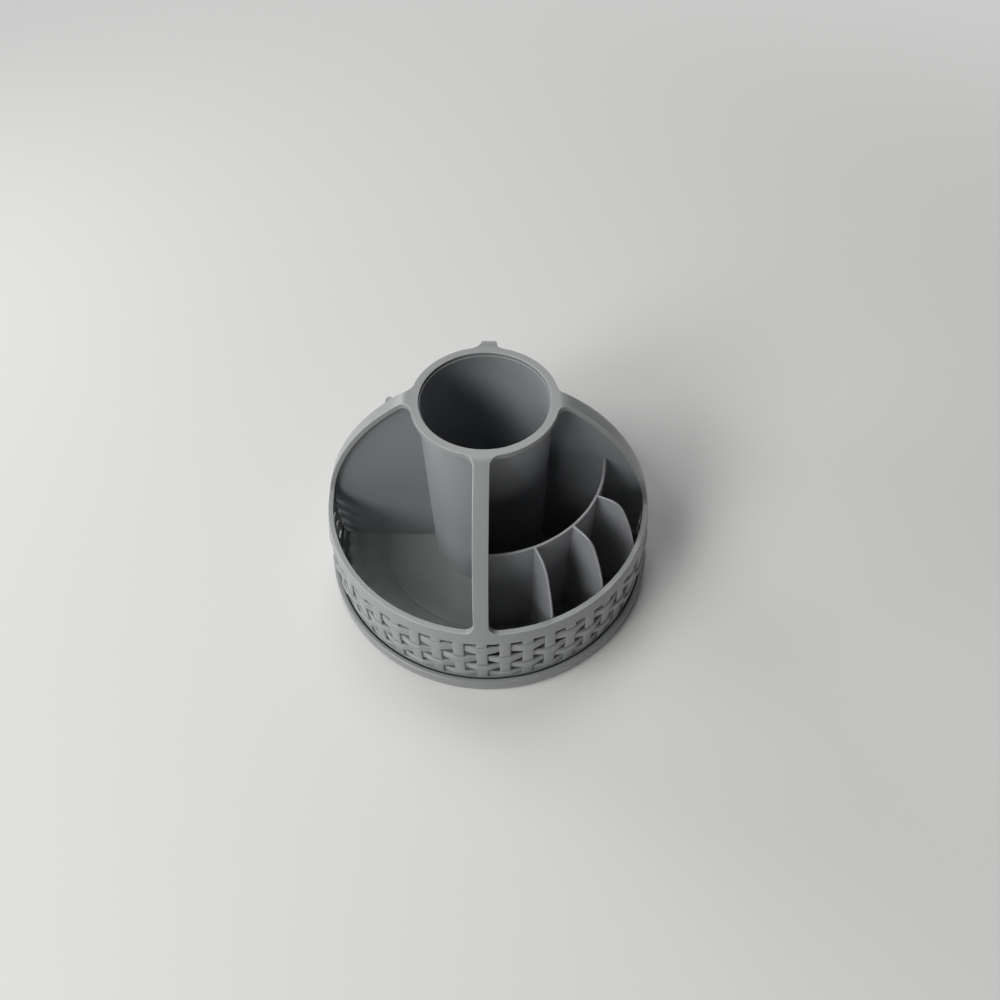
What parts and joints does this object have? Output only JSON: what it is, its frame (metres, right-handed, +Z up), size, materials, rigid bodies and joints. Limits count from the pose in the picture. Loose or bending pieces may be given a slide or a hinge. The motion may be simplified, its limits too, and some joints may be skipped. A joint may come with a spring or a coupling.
{
  "type": "revolving makeup organizer",
  "caption": "Revolving make-up organizer: a domed caddy with a brush tube, open bins, lipstick cells and a woven wall, which turns on a low round base.",
  "frame": {"origin": "centre of the underside, on the table that the rubber pads stand on", "axes": "+Z up along the axis that the caddy turns about, -Y towards the front rib, with the lipstick cells at +X -Y"},
  "size_m": [0.2, 0.2, 0.1343],
  "materials": {
    "grey_plastic": "satin",
    "cage_plastic": "satin",
    "rubber": "matte",
    "steel": "satin"
  },
  "bodies": {
    "base": {"turntable_base": "grey_plastic", "foot_pad_1": "rubber", "foot_pad_2": "rubber", "foot_pad_3": "rubber", "foot_pad_4": "rubber"},
    "caddy": {"floor_tray": "grey_plastic", "divider_core": "grey_plastic", "lipstick_insert": "grey_plastic", "woven_shell": "grey_plastic", "pivot_screw": "steel", "pivot_washer": "steel"},
    "bearing": {"ball_cage": "cage_plastic", "ball_01": "steel", "ball_02": "steel", "ball_03": "steel", "ball_04": "steel", "ball_05": "steel", "ball_06": "steel", "ball_07": "steel", "ball_08": "steel", "ball_09": "steel", "ball_10": "steel", "ball_11": "steel", "ball_12": "steel"}
  },
  "joints": [
    {"name": "caddy_spin", "type": "hinge", "parent": "base", "child": "caddy", "pos_m": [0, 0, 0.0066], "axis": [0, 0, 1], "continuous": true},
    {"name": "bearing_spin", "type": "hinge", "parent": "base", "child": "bearing", "pos_m": [0, 0, 0.0056], "axis": [0, 0, 1], "continuous": true}
  ],
  "couplings": [
    {"joint": "bearing_spin", "follows": "caddy_spin", "ratio": 0.5}
  ]
}
